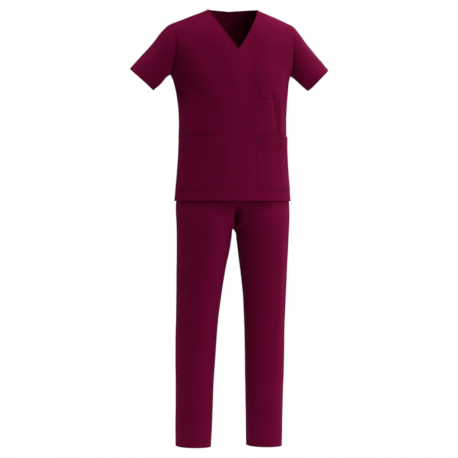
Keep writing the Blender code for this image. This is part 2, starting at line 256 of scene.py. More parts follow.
def roundedPower(value, roundness):
    return np.sign(value) * np.abs(value) ** (2 / roundness)


def ringPoint(ring, angle):
    top = np.stack([ring[..., 0], ring[..., 1], heightOf(ring[..., 2])], -1)
    under = np.stack([ring[..., 3], ring[..., 4], heightOf(ring[..., 5])], -1)
    up = roundedPower(np.cos(angle), sleeveCut["roundness"])
    forward = roundedPower(np.sin(angle), sleeveCut["roundness"])
    line = (top - under) / np.linalg.norm(top - under, axis=-1, keepdims=True)
    bend = ring[..., 7] * forward * forward
    point = (top + under) / 2 + (top - under) / 2 * up[..., None]
    point[..., 0] -= line[..., 2] * bend
    point[..., 1] -= ring[..., 6] * forward
    point[..., 2] += line[..., 0] * bend
    return point


# Half the width of the V at each drop. Its edges bow out a little, and below its point it runs on under 0.
def vHalfWidth(drop):
    part = drop / topCut["vDepth"]
    bow = np.sqrt(np.clip(4 * part * (1 - part), 0, None))
    return topCut["neckHalfWidth"] * (1 - part) + topCut["vBow"] * bow


# A point of the top's front or back on the wearer's left, by its rise and its share of the row.
# Past a rise of 1 the back goes on over the shoulder, down the front's own rows.
def topPoint(front, rise, share):
    rise, share = spread(rise, share)
    onFront = front | (rise > 1)
    up = np.where(rise > 1, 2 - rise, rise)
    below = up < 0
    level = readTable(bodyTable, topCut["underarmDrop"] - up)
    yoke = np.where(onFront[..., None], readTable(frontYokeTable, up), readTable(backYokeTable, up))
    drop = np.where(below, topCut["underarmDrop"] - up, yoke[..., 0])
    innerY = np.where(below, np.where(onFront, level[..., 1], level[..., 3]), yoke[..., 1])
    bulge = np.where(below, 1.0, yoke[..., 3])
    neckRun = topCut["backNeckY"] - topCut["neckPointY"]
    round_ = np.clip(1 - ((innerY - topCut["neckPointY"]) / neckRun) ** 2, 0, None) ** 0.5
    atEdge = np.where(onFront, np.maximum(vHalfWidth(drop), 0.0), topCut["neckHalfWidth"] * round_)
    innerX = np.where(below, 0.0, atEdge)
    angle = np.radians(yoke[..., 2]) * np.where(onFront, 1, -1)
    hole = ringPoint(readTable(sleeveTable, np.zeros_like(rise)), angle)
    outerX = np.where(below, level[..., 0], hole[..., 0])
    outerY = np.where(below, level[..., 2], hole[..., 1])
    outerZ = np.where(below, heightOf(drop), hole[..., 2])
    power = topCut["bodyRoundness"]
    quarter = np.clip(1 - share**power, 0, 1) ** (1 / power)
    along = bulge * quarter + (1 - bulge) * (1 - share * share)
    # rows leave the middle plane level, so that no fold line shows there
    level = topCut["levelStart"] * (1 - smoothStep(up, *topCut["flatRises"]))
    fall = (np.hypot(share, level) - level) / (np.hypot(1, level) - level)
    return np.stack(
        [
            innerX + (outerX - innerX) * share,
            outerY + (innerY - outerY) * along,
            heightOf(drop) + (outerZ - heightOf(drop)) * fall,
        ],
        -1,
    )


# Where the half section of the trousers reaches the middle plane, as an angle, for each drop.
def middleAngles():
    drops = np.linspace(trouserCut["waistTop"], trouserCut["length"], 500)
    angles = np.linspace(0, math.pi, 721)
    size = readTable(legTable, drops)[:, None, :]
    side = roundedPower(np.cos(angles), trouserCut["roundness"])
    depth = np.abs(np.sin(angles)) ** (2 / trouserCut["roundness"])
    found = {}
    for front in (True, False):
        x = size[..., 0] + size[..., 2] * side + size[..., 4] * depth * (-1 if front else 1)
        inside = x > garment["seamGap"] / 2
        last = inside.shape[1] - 1 - np.argmax(inside[:, ::-1], axis=1)
        after = np.minimum(last + 1, len(angles) - 1)
        row = np.arange(len(drops))
        gap = np.where(after > last, x[row, last] - x[row, after], 1.0)
        part = np.clip((x[row, last] - garment["seamGap"] / 2) / gap, 0, 1)
        found[front] = (drops, angles[last] + (angles[after] - angles[last]) * part)
    return found


middleAngle = middleAngles()


def legPoint(front, drop, share):
    drop, share = spread(drop, share)
    size = readTable(legTable, drop)
    angle = np.interp(drop, *middleAngle[front]) * share
    side = roundedPower(np.cos(angle), trouserCut["roundness"])
    depth = roundedPower(np.sin(angle), trouserCut["roundness"]) * (-1 if front else 1)
    backward = size[..., 3] * depth
    return np.stack(
        [
            size[..., 0] + size[..., 2] * side + size[..., 4] * depth,
            size[..., 1] + backward,
            heightOf(drop - size[..., 5] * backward),
        ],
        -1,
    )


# Distances along a panel: even steps, with finer ones at both ends and beside each stitched line.
def stations(length, step, lines=()):
    found = list(np.linspace(0, length, round(length / step) + 1))
    for fine in garment["edgeLines"]:
        found += [fine, length - fine]
    for line in lines:
        found += [line + part for part in garment["stitchLines"]]
    kept = []
    for at in sorted(found):
        if not kept or at - kept[-1] > garment["closestLines"]:
            kept.append(at)
    kept[-1] = length
    return np.array(kept)


def unit(vectors):
    return vectors / np.maximum(np.linalg.norm(vectors, axis=-1, keepdims=True), 1e-12)


# How far each point lies along its row or column, measured on the cloth.
def runAlong(points, axis):
    steps = np.linalg.norm(np.diff(points, axis=axis), axis=-1)
    start = np.zeros_like(np.take(steps, [0], axis=axis))
    return np.concatenate([start, np.cumsum(steps, axis=axis)], axis)


# Soft ridges (depth over 0) and troughs, each along a bent line through three places.
# A row holds, in millimetres: x1, d1, x2, d2, x3, d3, width, depth.
def creaseLift(x, d, creases):
    lift = np.zeros_like(x)
    t = np.linspace(0, 1, 13)

    def through(first, second, third):
        return first * (1 - t) * (1 - 2 * t) + second * 4 * t * (1 - t) + third * t * (2 * t - 1)

    for x1, d1, x2, d2, x3, d3, width, depth in np.array(creases) / 1000:
        lineX, lineD = through(x1, x2, x3), through(d1, d2, d3)
        nearest = np.full(x.shape, 1e9)
        along = np.zeros_like(x)
        for i in range(len(t) - 1):
            runX, runD = lineX[i + 1] - lineX[i], lineD[i + 1] - lineD[i]
            part = ((x - lineX[i]) * runX + (d - lineD[i]) * runD) / (runX**2 + runD**2)
            part = np.clip(part, 0, 1)
            away = (x - lineX[i] - part * runX) ** 2 + (d - lineD[i] - part * runD) ** 2
            closer = away < nearest
            nearest = np.where(closer, away, nearest)
            along = np.where(closer, t[i] + part * (t[i + 1] - t[i]), along)
        taper = np.sin(math.pi * np.clip(along, 0.02, 0.98)) ** 0.8
        lift += depth * taper * np.exp(-nearest / width**2)
    return lift


# The slow unevenness of hanging cloth: a few waves that never line up.
def unevenness(x, y, z, size):
    return size * (
        np.sin(31 * x + 17 * z + 1.3) * np.sin(23 * z - 19 * y + 0.4)
        + 0.6 * np.sin(53 * x - 41 * y + 2.1) * np.sin(37 * z + 29 * x + 0.9)
        + 0.4 * np.sin(71 * y + 61 * z + 0.2) * np.sin(67 * x - 47 * z + 1.7)
    )


# How far a seamed edge rolls in, by the distance from it.
def seamRoll(distance, depth=0.0012, width=0.0028):
    return -depth * bell(distance, width)


# A turned edge stands up a little, then rolls under.
def beadShape(distance, width):
    return bell(distance - 0.8 * width, width) - 0.7 * bell(distance, 0.3 * width)


# A line of stitches pulls the cloth in by a little.
def stitchDent(distance, depth=0.00045, width=0.0013):
    return -depth * bell(distance, width)


# The finished panel, with its normals on the side that the plain one faced.
def facedPanel(rows, columns, points, outward, closed=False):
    panel = Panel(rows, columns, points, closed)
    if (panel.normals * outward).sum() < 0:
        panel.normals = -panel.normals
    return panel


# A finished stretch of cloth: its grid of points with normals, read at any row and column.
class Panel:
    def __init__(self, rows, columns, points, closed=False):
        self.rows, self.columns, self.points, self.closed = rows, columns, points, closed
        self.normals = self.findNormals(points)

    def findNormals(self, points):
        along = np.gradient(points, axis=0)
        if self.closed:
            across = np.roll(points[:, :-1], -1, 1) - np.roll(points[:, :-1], 1, 1)
            across = np.concatenate([across, across[:, :1]], 1)
        else:
            across = np.gradient(points, axis=1)
        return unit(np.cross(along, across))

    def read(self, row, column, values=None):
        values = self.points if values is None else values
        i = np.interp(row, self.rows, np.arange(len(self.rows)))
        j = np.interp(column, self.columns, np.arange(len(self.columns)))
        i0 = np.clip(i.astype(int), 0, len(self.rows) - 2)
        j0 = np.clip(j.astype(int), 0, len(self.columns) - 2)
        a, b = (i - i0)[..., None], (j - j0)[..., None]
        return (
            values[i0, j0] * (1 - a) * (1 - b)
            + values[i0 + 1, j0] * a * (1 - b)
            + values[i0, j0 + 1] * (1 - a) * b
            + values[i0 + 1, j0 + 1] * a * b
        )

    # the row and column under each place of a front or back view
    def find(self, x, z):
        shape = np.shape(x)
        x, z = np.abs(np.ravel(x)), np.ravel(z)
        heights, columns = [], []
        for line in self.points:
            heights.append(np.interp(x, np.abs(line[:, 0]), line[:, 2]))
            columns.append(np.interp(x, np.abs(line[:, 0]), self.columns))
        heights, columns = np.array(heights), np.array(columns)
        rows = [np.interp(z[k], heights[:, k], self.rows) for k in range(len(x))]
        found = [np.interp(rows[k], self.rows, columns[:, k]) for k in range(len(x))]
        return np.reshape(rows, shape), np.reshape(found, shape)


# Gives a node's socket a value, or a link to another socket.
def fill(tree, place, value):
    if isinstance(value, Socket):
        tree.links.new(value.socket, place)
    else:
        place.default_value = value


class Socket:
    # a shader value that takes part in sums
    def __init__(self, tree, socket):
        self.tree, self.socket = tree, socket

    def join(self, operation, first, second):
        node = self.tree.nodes.new("ShaderNodeMath")
        node.operation = operation
        for place, value in zip(node.inputs, (first, second)):
            fill(self.tree, place, value)
        return Socket(self.tree, node.outputs[0])

    def __add__(self, other):
        return self.join("ADD", self, other)

    def __radd__(self, other):
        return self.join("ADD", other, self)

    def __mul__(self, other):
        return self.join("MULTIPLY", self, other)

    def __rmul__(self, other):
        return self.join("MULTIPLY", other, self)

    def sine(self):
        return self.join("SINE", self, 0.0)


class Finish:
    def __init__(self, name):
        self.material = bpy.data.materials.new(name)
        self.material.use_nodes = True
        self.tree = self.material.node_tree
        self.shader = self.tree.nodes["Principled BSDF"]

    # any node: its type after ShaderNode, its settings, then the values or links of its sockets
    def add(self, kind, settings=None, values=None, output=0):
        node = self.tree.nodes.new("ShaderNode" + kind)
        for key, value in (settings or {}).items():
            if key == "stops":
                ramp = node.color_ramp.elements
                for k, (place, colour) in enumerate(value):
                    stop = ramp[k] if k < len(ramp) else ramp.new(place)
                    stop.position, stop.color = place, colour
            else:
                setattr(node, key, value)
        for key, value in (values or {}).items():
            fill(self.tree, node.inputs[key], value)
        return Socket(self.tree, node.outputs[output])

    # clears away towards the edge of a round floor
    def fadeOut(self, reach, fade):
        place = self.add("TexCoord", None, None, 3)
        level = self.add("VectorMath", {"operation": "MULTIPLY"}, {0: place, 1: (1.0, 1.0, 0.0)})
        away = self.add("VectorMath", {"operation": "LENGTH"}, {0: level}, 1)
        edge = self.add(
            "MapRange", {"interpolation_type": "SMOOTHSTEP"},
            {0: away, 1: reach * fade[0], 2: reach * fade[1], 3: 0.0, 4: 1.0},
        )
        clear = self.add("BsdfTransparent")
        solid = Socket(self.tree, self.shader.outputs[0])
        mixed = self.add("MixShader", None, {0: edge, 1: solid, 2: clear})
        self.tree.links.new(mixed.socket, self.tree.nodes["Material Output"].inputs["Surface"])

    def feed(self, **values):
        for key, value in values.items():
            fill(self.tree, self.shader.inputs[key.replace("_", " ")], value)


clothLook = {
    "deep": (0.0900, 0.0005, 0.0180, 1.0),
    "main": (0.1040, 0.0008, 0.0222, 1.0),
    "light": (0.1180, 0.0014, 0.0268, 1.0),
    "gloss": 0.022,
    "roughness": 0.86,
    "sheen": 0.05,
    "sheenTint": (1.0, 0.04, 0.40, 1.0),
    "yarnPitch": 0.00062,
    "weaveDepth": 0.00005,
}


# Plain weave in wine red: warp over weft along the piece's own map, with uneven yarns.
def clothFinish(name, look):
    finish = Finish(name)
    along = finish.add("UVMap", {"uv_map": "cloth"})
    parts = finish.add("SeparateXYZ", None, {0: along})
    v = Socket(finish.tree, parts.socket.node.outputs[1])
    turns = 2 * math.pi / look["yarnPitch"]
    weave = (parts * (turns / 2)).sine() * (v * (turns / 2)).sine()

    def slub(scale):
        run = finish.add("Mapping", None, {"Vector": along, "Scale": scale})
        return finish.add("TexNoise", None, {"Vector": run, "Scale": 1.0, "Detail": 2.0})

    slubU, slubV = slub((900, 26, 1)), slub((26, 900, 1))
    place = finish.add("TexCoord", None, None, 3)
    patches = finish.add("TexNoise", None, {"Vector": place, "Scale": 9.0, "Detail": 3.0})
    tone = (slubU + slubV) * 0.25 + patches * 0.35 + weave * 0.04 + 0.075
    deep, main, light = look["deep"], look["main"], look["light"]
    stops = ((0.30, deep), (0.50, main), (0.70, light))
    colour = finish.add("ValToRGB", {"stops": stops}, {0: tone})
    bump = finish.add(
        "Bump",
        None,
        {"Strength": 0.5, "Distance": look["weaveDepth"], "Height": weave + slubU * 0.8 + slubV * 0.8},
    )
    finish.feed(
        Base_Color=colour,
        Roughness=patches * 0.10 + (look["roughness"] - 0.05),
        Normal=bump,
        Sheen_Weight=look["sheen"],
        Sheen_Roughness=0.45,
        Sheen_Tint=look["sheenTint"],
        Specular_IOR_Level=look["gloss"],
        Metallic=0.0,
    )
    return finish.material


scrubsCloth = clothFinish("wineRedPlainWeave", clothLook)
print("cloth finish ready")


def meshOf(name, work):
    mesh = bpy.data.meshes.new(name)
    work.to_mesh(mesh)
    work.free()
    return mesh


def addObject(name, data):
    added = bpy.data.objects.new(name, data)
    bpy.context.scene.collection.objects.link(added)
    return added


# Lays a grid of faces over each panel and gives it the cloth's map, in metres of cloth.
def clothMesh(name, panels):
    whole = bmesh.new()
    for panel in panels:
        rowCount, columnCount = panel.points.shape[:2]
        sheet = bmesh.new()
        bmesh.ops.create_grid(sheet, x_segments=columnCount - 1, y_segments=rowCount - 1, size=1.0)
        part = meshOf(name + "Part", sheet)
        flat = np.empty(len(part.vertices) * 3)
        part.vertices.foreach_get("co", flat)
        flat = flat.reshape(-1, 3)
        j = np.rint((flat[:, 0] + 1) / 2 * (columnCount - 1)).astype(int)
        i = np.rint((flat[:, 1] + 1) / 2 * (rowCount - 1)).astype(int)
        part.vertices.foreach_set("co", panel.points[i, j].ravel())
        across, along = runAlong(panel.points, 1), runAlong(panel.points, 0)
        corners = np.empty(len(part.loops), np.int32)
        part.loops.foreach_get("vertex_index", corners)
        clothMap = part.uv_layers.new(name="cloth")
        places = np.stack([across[i, j], along[i, j]], -1)[corners]
        clothMap.data.foreach_set("uv", places.ravel())
        middle = panel.points[rowCount // 2, columnCount // 2]
        outward = panel.normals[rowCount // 2, columnCount // 2]
        part.update()
        nearest = min(part.polygons, key=lambda face: (face.center - Vector(middle)).length_squared)
        if nearest.normal.dot(Vector(outward)) < 0:
            part.flip_normals()
        whole.from_mesh(part)
        bpy.data.meshes.remove(part)
    bmesh.ops.remove_doubles(whole, verts=whole.verts, dist=garment["weld"])
    return meshOf(name, whole)


# A shell of cloth: one sheet with its thickness inward, doubled where it is turned up for a hem.
def addCloth(name, panels, replaced, doubled=None):
    mesh = clothMesh(name, panels)
    mesh.shade_smooth()
    mesh.materials.append(scrubsCloth)
    piece = addObject(name, mesh)
    group = piece.vertex_groups.new(name="thickness")
    places = np.empty(len(mesh.vertices) * 3)
    mesh.vertices.foreach_get("co", places)
    places = places.reshape(-1, 3)
    share = garment["wall"] / garment["hemWall"]
    weights = np.full(len(places), share)
    if doubled is not None:
        weights += (1 - share) * doubled(places)
    for level in np.unique(np.round(weights, 2)):
        chosen = np.nonzero(np.abs(np.round(weights, 2) - level) < 0.001)[0]
        group.add([int(k) for k in chosen], float(level), "REPLACE")
    wall = piece.modifiers.new("Cloth", "SOLIDIFY")
    wall.thickness = garment["hemWall"]
    wall.offset = -1
    wall.vertex_group = "thickness"
    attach(piece, "root")
    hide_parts(*replaced)
    print("made", name, len(mesh.polygons), "faces")


# The top's creases, seen from the front: x, drop at three places, width, depth.
frontCreases = (
    (-224, 85, -150, 188, -76, 375, 36, 6),
    (-212, 150, -178, 240, -140, 420, 28, -1.6),
    (116, 265, 131, 353, 147, 450, 7, -3.6),
    (151, 290, 156, 395, 149, 510, 7.5, 4.4),
    (150, 515, 158, 565, 165, 620, 9, 2.8),
    (-179, 290, -178, 430, -175, 600, 4.5, -2.2),
    (-189, 290, -188, 430, -185, 600, 6, 1.2),
    (-196, 66, -160, 82, -118, 104, 7, 0.8),
    (-200, 84, -166, 104, -130, 132, 7, -0.7),
    (-202, 108, -178, 128, -150, 150, 6, 0.7),
    (190, 58, 160, 68, 125, 74, 6, 1.3),
    (196, 78, 170, 94, 140, 104, 6, -1.4),
    (200, 150, 172, 186, 150, 246, 10, 2.2),
    (204, 180, 186, 230, 176, 300, 9, -2.4),
    (-60, 420, -48, 520, -55, 640, 20, 1.6),
    (20, 470, 28, 560, 18, 665, 22, 1.4),
    (-185, 260, -150, 292, -118, 336, 10, -1.4),
    (52, 70, 36, 250, 12, 490, 48, -8),
)
backCreases = (
    (-190, 100, -150, 190, -120, 330, 16, 4.8),
    (186, 110, 150, 205, 128, 340, 17, 4.5),
    (-160, 150, -128, 240, -98, 370, 14, -4.5),
    (165, 140, 130, 250, 104, 350, 14, -4.2),
    (-140, 360, -85, 400, -30, 412, 11, 3.2),
    (146, 372, 92, 420, 36, 436, 11, 3.5),
    (-130, 410, -80, 446, -20, 456, 11, -2.9),
    (40, 380, 70, 500, 60, 640, 22, 3.2),
    (-50, 440, -72, 540, -64, 660, 20, 2.9),
    (-4, 430, 6, 540, 0, 660, 18, -2.9),
    (-80, 30, -30, 50, 60, 36, 12, 1.9),
)


# How far each point of a half is from the neck's edge: square to the V in front, and to the nearest
# point of the neck's curve behind.
def neckDistance(front, points):
    if front:
        half, depth = topCut["neckHalfWidth"], topCut["vDepth"]
        side = np.abs(points[..., 0]) - vHalfWidth(dropOf(points[..., 2]))
        return side * depth / math.hypot(half, depth)
    edge = points[np.abs(points[:, 0, 0]) > 1e-5, 0]
    return np.linalg.norm(points[:, :, None] - edge, axis=-1).min(-1)


# The armhole is pulled in over its lower part, on the body and on the sleeve alike.
def lowArmhole(drop):
    return smoothStep(drop, *topCut["tuckDrops"])


# Half of the front or back with its creases, rolled seams and stitched lines.
def topHalf(front, side):
    hemToArm = topCut["length"] - topCut["underarmDrop"]
    lastRise = topCut["shoulderSeamRise"] if front else 2 - topCut["shoulderSeamRise"]
    length = hemToArm + lastRise * topCut["armholeHeight"]
    along = stations(length, garment["meshStep"], (topCut["hem"],))

    def riseAt(place):
        above = place - hemToArm
        return np.where(above < 0, above, above / topCut["armholeHeight"])

    rows = riseAt(along)
    across = stations(topCut["halfArc"], garment["meshStep"], (topCut["neckLine"], topCut["neckStitch"]))
    columns = across / topCut["halfArc"]
    share = np.sin(columns * math.pi / 2) ** (2 / topCut["bodyRoundness"])
    share[-1] = 1.0
    points = topPoint(front, rows[:, None], share[None, :])
    fromInner = runAlong(points, 1)
    fromOuter = fromInner[:, -1:] - fromInner
    # the corner where armhole and side seam meet fades out into the panel
    shifts = np.linspace(-2, 2, 9)
    weights = np.exp(-shifts * shifts / 2) / np.exp(-shifts * shifts / 2).sum()
    even = sum(
        weight * topPoint(front, riseAt(along + shift * topCut["cornerFade"])[:, None], share[None, :])
        for shift, weight in zip(shifts, weights)
    )
    near = bell(along - hemToArm, topCut["cornerSpan"])[:, None]
    near = near * smoothStep(fromOuter, 0.0, topCut["cornerDepth"])
    points += (even - points) * near[..., None]
    points[..., 0] *= side
    plain = Panel(rows, columns, points)
    outward = plain.normals
    onMiddle = np.abs(points[..., 0]) < 1e-6
    outward[onMiddle, 0] = 0.0
    outward = unit(outward)
    middle = outward[len(rows) // 2, 0]
    if middle[1] * (-1 if front else 1) < 0:
        outward = -outward
    x, y, z = points[..., 0], points[..., 1], points[..., 2]
    drop = dropOf(z)
    lift = creaseLift(x, drop, frontCreases if front else backCreases) * (rows[:, None] < 1)
    lift += unevenness(x, y, z, 0.0005)
    lift *= smoothStep(fromOuter, 0.0, garment["creaseFade"])
    seamDepth = 0.25 + 0.75 * (1 - smoothStep(rows, 0.35, 0.85))
    lift += seamRoll(fromOuter) * seamDepth[:, None]
    onArmhole = smoothStep(rows, -0.02, 0.05)[:, None] * np.abs(outward[..., 1]) ** 2
    tuck = seamRoll(fromOuter, topCut["armholeTuck"], topCut["tuckWidth"])
    lift += tuck * onArmhole * lowArmhole(drop)
    lift += seamRoll((length - along)[:, None], 0.0006, 0.0022)
    edge = neckDistance(front, points)
    bead = topCut["neckBead"] * beadShape(edge, topCut["beadWidth"])
    lift += bead + stitchDent(edge - topCut["neckStitch"], 0.0004)
    lift += stitchDent((along - topCut["hem"])[:, None])
    points = points + outward * lift[..., None]
    gap = garment["seamGap"] / 2
    points[:, -1] += unit(points[:, -2] - points[:, -1]) * gap
    points[-1] += unit(points[-2] - points[-1]) * gap
    return facedPanel(rows, columns, points, outward)


def topHemDoubled(places):
    return hemShare(dropOf(places[:, 2]), topCut["length"] - topCut["hem"])


frontHalves = {side: topHalf(True, side) for side in (1, -1)}
backHalves = {side: topHalf(False, side) for side in (1, -1)}
addCloth("topFront", frontHalves.values(), ["top_front"], topHemDoubled)
addCloth("topBack", backHalves.values(), ["top_back"], topHemDoubled)


# Sleeve creases by the turn from the shoulder line (in metres of cloth, forward positive) and the
# distance from the armhole.
sleeveCreases = (
    (172, 4, 160, 50, 140, 110, 9, -1.4),
    (142, 12, 122, 54, 92, 106, 9, 1.4),
    (115, 8, 94, 40, 68, 78, 8, -1),
    (-160, 4, -146, 50, -118, 104, 9, -2.8),
    (-132, 6, -112, 50, -82, 96, 9, 2.2),
    (60, 90, 52, 130, 30, 170, 11, 1.6),
    (20, 60, 26, 105, 10, 150, 13, -1.4),
    (-40, 50, -52, 110, -46, 160, 13, 1.6),
    (180, 60, 172, 110, 176, 160, 12, 1.8),
)


# the fuller front of the sleeve on the wearer's left
fullerFront = ((160, -20, 160, 90, 150, 215, 32, 10),)


def sleevePanel(side):
    length = sleeveCut["length"]
    along = stations(length, garment["meshStep"], (length - sleeveCut["hem"],))
    turns = np.linspace(0, 2 * math.pi, round(sleeveCut["girth"] / garment["meshStep"]) + 1)
    rings = readTable(sleeveTable, along / length)[:, None, :]
    rings = np.broadcast_to(rings, (len(along), len(turns), rings.shape[-1]))
    points = ringPoint(rings, np.broadcast_to(turns, (len(along), len(turns))))
    # the cuff's front runs on past its back, or the other way
    towardCuff = smoothStep(along / length, sleeveCut["cuffStart"], 1.0)[:, None, None]
    lean = sleeveCut["cuffLean"][side] * towardCuff
    axis = unit(points.mean(1)[-1] - points.mean(1)[len(along) // 2])
    reach = sleeveCut["cuffReach"][side] * towardCuff
    points += axis * (lean * np.sin(turns)[None, :, None] + reach)
    points[..., 0] *= side
    plain = Panel(along, turns, points, closed=True)
    outward = plain.normals
    if outward[len(along) // 2, 0][2] < 0:
        outward = -outward
    around = (turns - 2 * math.pi * (turns > math.pi)) / (2 * math.pi) * sleeveCut["girth"]
    around, away = np.broadcast_arrays(around[None, :], along[:, None])
    creases = sleeveCreases + (fullerFront if side > 0 else ())
    lift = creaseLift(around * sleeveCut["creaseShare"][side], away, creases)
    lift += unevenness(points[..., 0], points[..., 1], points[..., 2], 0.0008)
    lift *= smoothStep(away, 0.0, 0.010)
    below = 0.5 - 0.5 * np.cos(turns)[None, :]
    roll = seamRoll(away, 0.0010, 0.0030) * (0.15 + 0.85 * below)
    lift += 0.0008 * below * smoothStep(away, 0.0, 0.006) + roll
    facing = np.abs(outward[..., 1]) ** 2 * lowArmhole(dropOf(points[..., 2]))
    lift += seamRoll(away, topCut["armholeTuck"], sleeveCut["tuckWidth"][side]) * facing
    lift += stitchDent(away - (length - sleeveCut["hem"]))
    lift[:, -1] = lift[:, 0]
    points = points + outward * lift[..., None]
    points[0] += unit(points[1] - points[0]) * garment["seamGap"] / 2
    return facedPanel(along, turns, points, outward, closed=True)


sleeves = {side: sleevePanel(side) for side in (1, -1)}
for side, name, node in ((1, "sleeveLeft", "sleeve_left"), (-1, "sleeveRight", "sleeve_right")):
    panel = sleeves[side]
    cuff = panel.points[-1].mean(0)
    inward = unit(panel.points[-8].mean(0) - cuff)

    def cuffDoubled(places, cuff=cuff, inward=inward):
        return 1 - hemShare((places - cuff) @ inward, sleeveCut["hem"])

    addCloth(name, [panel], [node], cuffDoubled)


# Leg creases: metres of cloth from the outer seam (front positive), then the drop.
legCreases = {
    1: (
        (232, 700, 205, 745, 160, 800, 11, -3),
        (236, 735, 214, 800, 180, 880, 10, 2.6),
        (222, 690, 180, 712, 120, 730, 9, 1.6),
        (55, 700, 50, 950, 60, 1250, 12, -2),
        (85, 760, 78, 980, 84, 1300, 14, 2),
        (180, 1000, 172, 1130, 180, 1290, 12, 1.4),
        (30, 1080, 34, 1260, 30, 1460, 12, 1.8),
        (140, 1240, 150, 1360, 140, 1500, 14, -1.6),
        (-232, 700, -190, 760, -130, 800, 12, 2.8),
        (-234, 750, -200, 800, -150, 850, 12, -2.6),
        (-60, 780, -70, 1000, -64, 1260, 14, 2),
        (-150, 1050, -144, 1200, -150, 1400, 14, -1.8),
        (-110, 1020, -90, 1070, -60, 1100, 13, 1.8),
    ),
    -1: (
        (234, 700, 212, 750, 172, 815, 10, -2.8),
        (236, 745, 220, 815, 190, 900, 10, 2.4),
        (220, 694, 176, 715, 112, 735, 9, 1.5),
        (46, 700, 42, 900, 48, 1120, 9, -2.4),
        (74, 730, 76, 960, 70, 1240, 14, 1.8),
        (22, 700, 20, 900, 22, 1180, 9, 1.6),
        (168, 960, 178, 1120, 170, 1300, 12, 1.4),
        (60, 1180, 52, 1320, 60, 1480, 12, -1.6),
        (130, 1300, 140, 1400, 132, 1510, 14, 1.4),
        (-230, 700, -186, 750, -120, 790, 12, 2.6),
        (-236, 746, -204, 806, -160, 860, 12, -2.8),
        (-80, 800, -74, 1020, -82, 1300, 14, 2.2),
        (-140, 1000, -150, 1180, -140, 1380, 14, -1.6),
        (-120, 1060, -96, 1100, -60, 1120, 13, 1.6),
    ),
}


def legPanel(front, side):
    top = trouserCut["waistBottom"] + garment["seamGap"]
    length = trouserCut["length"] - top
    along = stations(length, garment["meshStep"] * 1.3, (length - trouserCut["hem"],))
    across = stations(trouserCut["halfGirth"], garment["meshStep"] * 1.1)
    columns = across / trouserCut["halfGirth"]
    points = legPoint(front, (top + along)[:, None], columns[None, :])
    points[..., 0] *= side
    plain = Panel(along, columns, points)
    outward = plain.normals
    if outward[len(along) // 2, len(columns) // 2][1] * (-1 if front else 1) < 0:
        outward = -outward
    fromOuter = runAlong(points, 1)
    fromInner = fromOuter[:, -1:] - fromOuter
    around = fromOuter / fromOuter[:, -1:] * trouserCut["halfGirth"] * (1 if front else -1)
    drop = np.broadcast_to((top + along)[:, None], around.shape)
    lift = creaseLift(around, drop, legCreases[side])
    lift += unevenness(points[..., 0], points[..., 1], points[..., 2] * 0.6, 0.0006)
    lift *= smoothStep(np.minimum(fromInner, fromOuter), 0.0, garment["creaseFade"])
    lift *= smoothStep(drop, *trouserCut["creaseDrops"])
    lift += seamRoll(fromOuter, 0.0007, 0.0022) + seamRoll(fromInner, 0.0009, 0.0026)
    lift += stitchDent((length - trouserCut["hem"] - along)[:, None])
    points = points + outward * lift[..., None]
    bend, bendWidth = trouserCut["crotchBend"]
    belowCrotch = 1 - smoothStep(drop, *trouserCut["foldEnds"])
    nearCrotch = smoothStep(drop, trouserCut["foldDrops"][1], trouserCut["crotchDrop"]) ** 3
    bend = bend * nearCrotch * belowCrotch
    if front:
        depth, width = trouserCut["frontSink"]
        sink = depth * bell(points[..., 0], width)
        starts, ends = trouserCut["sinkDrops"], trouserCut["sinkEnds"]
        sink *= smoothStep(drop, *starts) * (1 - smoothStep(drop, *ends))
        fold = 0.0
        for depth, width in (trouserCut["crotchFold"], trouserCut["crotchSink"][side]):
            fold = fold + depth * bell(fromInner, width)
        sink = sink + fold * smoothStep(drop, *trouserCut["foldDrops"]) * belowCrotch
        # the front stops where it meets the back
        edges = [legPoint(half, drop[:, :1], np.ones((1, 1)))[..., 1] for half in (True, False)]
        room = edges[1] - edges[0] + bend[:, -1:]
        points[..., 1] += sink * np.clip(room / np.maximum(sink[:, -1:], 1e-6), 0, 1)
    else:
        points[..., 1] += bend * bell(fromInner, bendWidth)
    gap = garment["seamGap"] / 2
    points[:, 0] += unit(points[:, 1] - points[:, 0]) * gap
    below = drop[:, 0] > trouserCut["crotchDrop"]
    points[~below, -1, 0] = 0
    points[below, -1] += unit(points[below, -2] - points[below, -1]) * gap
    return facedPanel(along, columns, points, outward)


legs = {(front, side): legPanel(front, side) for front in (True, False) for side in (1, -1)}
for (front, side), panel in legs.items():
    half, hand = ("Front" if front else "Back"), ("Left" if side > 0 else "Right")

    def legDoubled(places):
        size = readTable(legTable, dropOf(places[:, 2]))
        level = dropOf(places[:, 2]) + size[:, 5] * (places[:, 1] - size[:, 1])
        return hemShare(level, trouserCut["length"] - trouserCut["hem"])

    node = f"trouser_{half.lower()}_{hand.lower()}"
    addCloth(f"trouser{half}{hand}", [panel], [node], legDoubled)


waistbandLook = {
    "gathers": 58, "gatherDepth": 0.0011, "meshStep": 0.004,
    "cut": {"flat": (0.94, 0.042), "area": 0.038},
}


